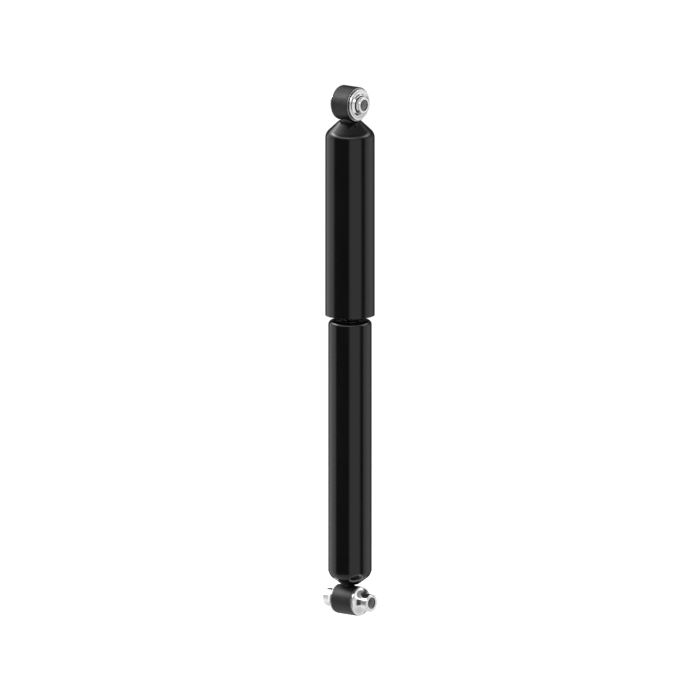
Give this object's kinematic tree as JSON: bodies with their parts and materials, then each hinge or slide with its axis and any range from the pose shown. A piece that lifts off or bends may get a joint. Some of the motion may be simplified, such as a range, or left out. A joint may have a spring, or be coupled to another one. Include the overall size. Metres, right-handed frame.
{
  "type": "shock absorber",
  "caption": "Twin-tube shock absorber with a telescoping dust tube and rubber-bushed eye mounts at both ends, shown extended, with piston and valves inside.",
  "frame": {"origin": "middle of the lower eye's bolt hole", "axes": "+Z along the piston rod, from the lower eye to the upper eye; X along both bolt holes"},
  "size_m": [0.062, 0.0542, 0.5875],
  "materials": {
    "gloss_paint": "gloss black paint",
    "satin_paint": "satin black paint",
    "plated_steel": "bright plated steel",
    "hard_chrome": "ground and hard chromed",
    "drawn_steel": "bare drawn steel",
    "spring_steel": "blued spring steel",
    "sintered_iron": "sintered, steam treated",
    "rubber": "moulded rubber",
    "bearing_bronze": "bronze lined bearing",
    "band_polymer": "filled low-friction polymer"
  },
  "bodies": {
    "lower_sleeve": {"lower_eye_sleeve": "plated_steel", "lower_eye_flanges": "plated_steel"},
    "cylinder": {"lower_eye_ring": "satin_paint", "lower_bushing_shell": "drawn_steel", "lower_bushing_rubber": "rubber", "lower_eye_weld": "satin_paint", "base_cap": "gloss_paint", "reserve_tube": "gloss_paint", "pressure_tube": "drawn_steel", "base_valve_body": "sintered_iron", "base_valve_bolt": "drawn_steel", "base_valve_nut": "drawn_steel", "base_compression_discs": "spring_steel", "base_intake_spring": "spring_steel", "rod_guide": "sintered_iron", "rod_guide_bushing": "bearing_bronze", "seal_plate": "drawn_steel", "rod_seal": "rubber"},
    "intake_plate": {"base_intake_plate": "spring_steel"},
    "piston_band": {"piston_band": "band_polymer"},
    "rod": {"piston_rod": "hard_chrome", "piston": "sintered_iron", "piston_nut": "drawn_steel", "piston_check_washer": "drawn_steel", "piston_check_spring": "spring_steel", "rebound_spring": "spring_steel", "rebound_stop_ring": "drawn_steel", "rebound_bumper": "rubber", "dust_tube": "gloss_paint", "upper_eye_weld": "satin_paint", "upper_eye_ring": "satin_paint", "upper_bushing_shell": "drawn_steel", "upper_bushing_rubber": "rubber"},
    "check_plate": {"piston_check_plate": "spring_steel"},
    "rebound_disc": {"rebound_disc": "spring_steel"},
    "upper_sleeve": {"upper_eye_sleeve": "plated_steel", "upper_eye_washers": "plated_steel"}
  },
  "joints": [
    {"name": "lower_bushing_twist", "type": "hinge", "parent": "lower_sleeve", "child": "cylinder", "pos_m": [0, 0, 0], "axis": [1, 0, 0], "range_deg": [-15, 15], "stiffness_Nm_per_rad": 60},
    {"name": "rod_slide", "type": "slide", "parent": "cylinder", "child": "piston_band", "axis": [0, 0, -1], "range_m": [0, 0.194], "stiffness_N_per_m": 60, "springref_m": -2.5},
    {"name": "rod_turn", "type": "hinge", "parent": "piston_band", "child": "rod", "pos_m": [0, 0, 0.3], "axis": [0, 0, 1], "continuous": true},
    {"name": "upper_bushing_twist", "type": "hinge", "parent": "rod", "child": "upper_sleeve", "pos_m": [0, 0, 0.5522], "axis": [1, 0, 0], "range_deg": [-15, 15], "stiffness_Nm_per_rad": 0.5},
    {"name": "intake_plate_lift", "type": "slide", "parent": "cylinder", "child": "intake_plate", "axis": [0, 0, 1], "range_m": [0, 0.001], "stiffness_N_per_m": 200, "springref_m": -0.002, "deforming": ["base_intake_spring"]},
    {"name": "check_plate_lift", "type": "slide", "parent": "rod", "child": "check_plate", "axis": [0, 0, 1], "range_m": [0, 0.0008], "stiffness_N_per_m": 200, "springref_m": -0.002, "deforming": ["piston_check_spring"]},
    {"name": "rebound_disc_drop", "type": "slide", "parent": "rod", "child": "rebound_disc", "axis": [0, 0, -1], "range_m": [0, 0.0012], "stiffness_N_per_m": 600, "springref_m": -0.003, "deforming": ["rebound_spring"]}
  ]
}
